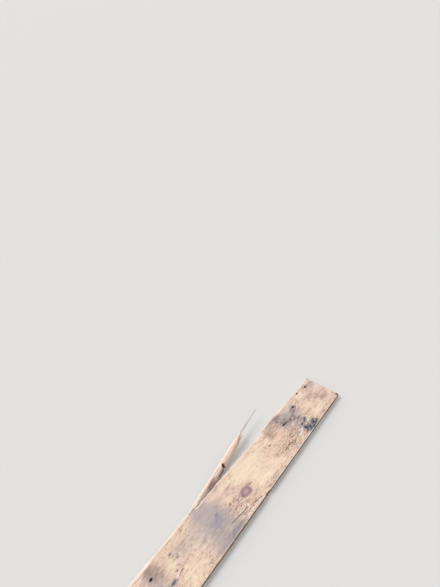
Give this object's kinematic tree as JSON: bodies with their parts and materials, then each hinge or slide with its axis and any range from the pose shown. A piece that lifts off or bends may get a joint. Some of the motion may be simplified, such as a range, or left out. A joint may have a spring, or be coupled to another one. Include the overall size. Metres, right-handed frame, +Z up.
{
  "type": "floorboard",
  "caption": "Reclaimed tongue-and-groove pine floorboard, worn and stained, with open nail holes and a torn strip springing out of its tongue edge.",
  "frame": {"origin": "on the sawn underside, at the middle of the length and of the face's width", "axes": "+X along the board to its split end, +Y to the tongue edge, +Z up out of the worn face"},
  "size_m": [1.8, 0.2178, 0.0527],
  "materials": {
    "pine": "bare, worn and stained"
  },
  "bodies": {
    "root": {"floorboard": "pine"}
  },
  "joints": []
}
